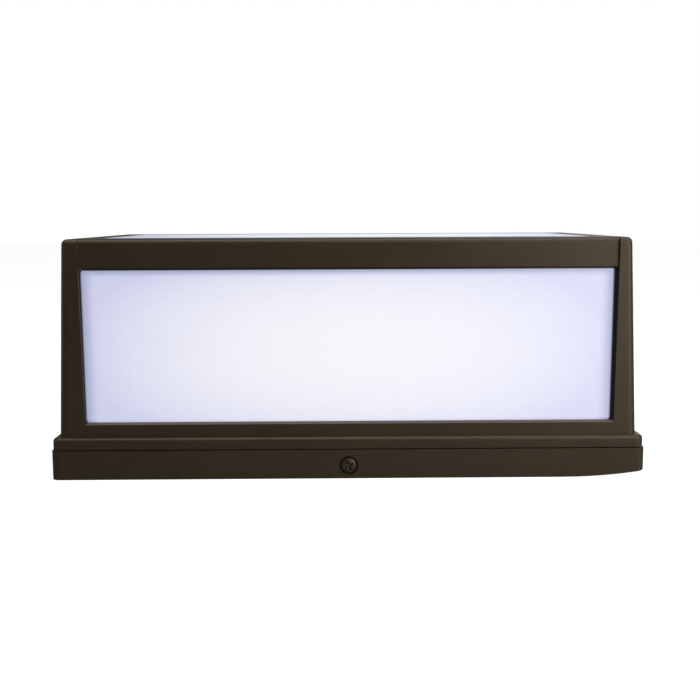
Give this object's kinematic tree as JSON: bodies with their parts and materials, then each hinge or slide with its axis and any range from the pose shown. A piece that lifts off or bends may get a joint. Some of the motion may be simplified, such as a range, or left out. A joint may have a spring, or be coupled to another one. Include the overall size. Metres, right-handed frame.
{
  "type": "wall pack light",
  "caption": "Outdoor wall pack light: a drafted cast housing with opal windows in its lower and front faces, hinged on a shallow back box and held shut by a captive screw.",
  "frame": {"origin": "centre of the wall face, the flat rear of the back box", "axes": "+Z away from the wall, +X along the width, -Y to the lower side with the window and the closing screw, +Y to the hinged upper side"},
  "size_m": [0.36, 0.2212, 0.1447],
  "materials": {
    "bronze_coat": "dark bronze satin powder coat on cast metal",
    "bronze_screw": "dark bronze coated steel",
    "opal_lens": "opal white plastic, lit from behind",
    "silicone": "black silicone",
    "foam": "closed cell foam",
    "rubber": "matt black rubber",
    "stainless": "ground stainless steel",
    "zinc_steel": "zinc plated steel",
    "green_screw": "green grounding screw",
    "white_paint": "white baked enamel",
    "white_board": "white solder mask on a metal core board",
    "phosphor": "yellow phosphor of the light sources",
    "white_nylon": "moulded white nylon",
    "lead_red": "red insulation",
    "lead_black": "black insulation",
    "lead_white": "white insulation",
    "lead_green": "green insulation",
    "tinned_copper": "stranded copper, tinned",
    "driver_aluminium": "extruded aluminium",
    "black_plastic": "moulded black plastic"
  },
  "bodies": {
    "back_box": {"back_box": "bronze_coat", "wall_gasket": "foam", "wire_bushing": "rubber", "seam_gasket": "silicone", "hinge_pins": "stainless", "ground_screw": "green_screw", "screw_seal": "rubber"},
    "closing_screw": {"captive_screw": "bronze_screw"},
    "clamp_nut": {"clamp_nut": "zinc_steel"},
    "front_housing": {"front_housing": "bronze_coat", "window_lens": "opal_lens", "window_gasket": "silicone", "window_clips": "zinc_steel", "window_clip_screws": "zinc_steel", "front_lens": "opal_lens", "front_gasket": "silicone", "front_clips": "zinc_steel", "front_clip_screws": "zinc_steel", "gear_tray": "white_paint", "gear_tray_screws": "zinc_steel", "reflector": "white_paint", "led_boards": "white_board", "led_chips": "phosphor", "led_board_screws": "zinc_steel", "board_connectors": "white_nylon", "jumper_leads": "lead_red", "led_leads": "lead_red", "lead_grommet": "rubber", "driver_case": "driver_aluminium", "driver_end_caps": "black_plastic", "driver_screws": "zinc_steel", "line_lead": "lead_black", "neutral_lead": "lead_white", "ground_lead": "lead_green", "lead_tips": "tinned_copper"}
  },
  "joints": [
    {"name": "housing_hinge", "type": "hinge", "parent": "back_box", "child": "front_housing", "pos_m": [0, 0.1104, 0.014], "axis": [-1, 0, 0], "range_deg": [0, 95]},
    {"name": "screw_turn", "type": "hinge", "parent": "back_box", "child": "closing_screw", "pos_m": [0, -0.1, 0.008], "axis": [0, -1, 0], "range_deg": [0, 1440]},
    {"name": "nut_slide", "type": "slide", "parent": "back_box", "child": "clamp_nut", "axis": [0, 1, 0], "range_m": [0, 0.0032]}
  ],
  "couplings": [
    {"joint": "screw_turn", "follows": "nut_slide", "rad_per_m": 7854}
  ]
}
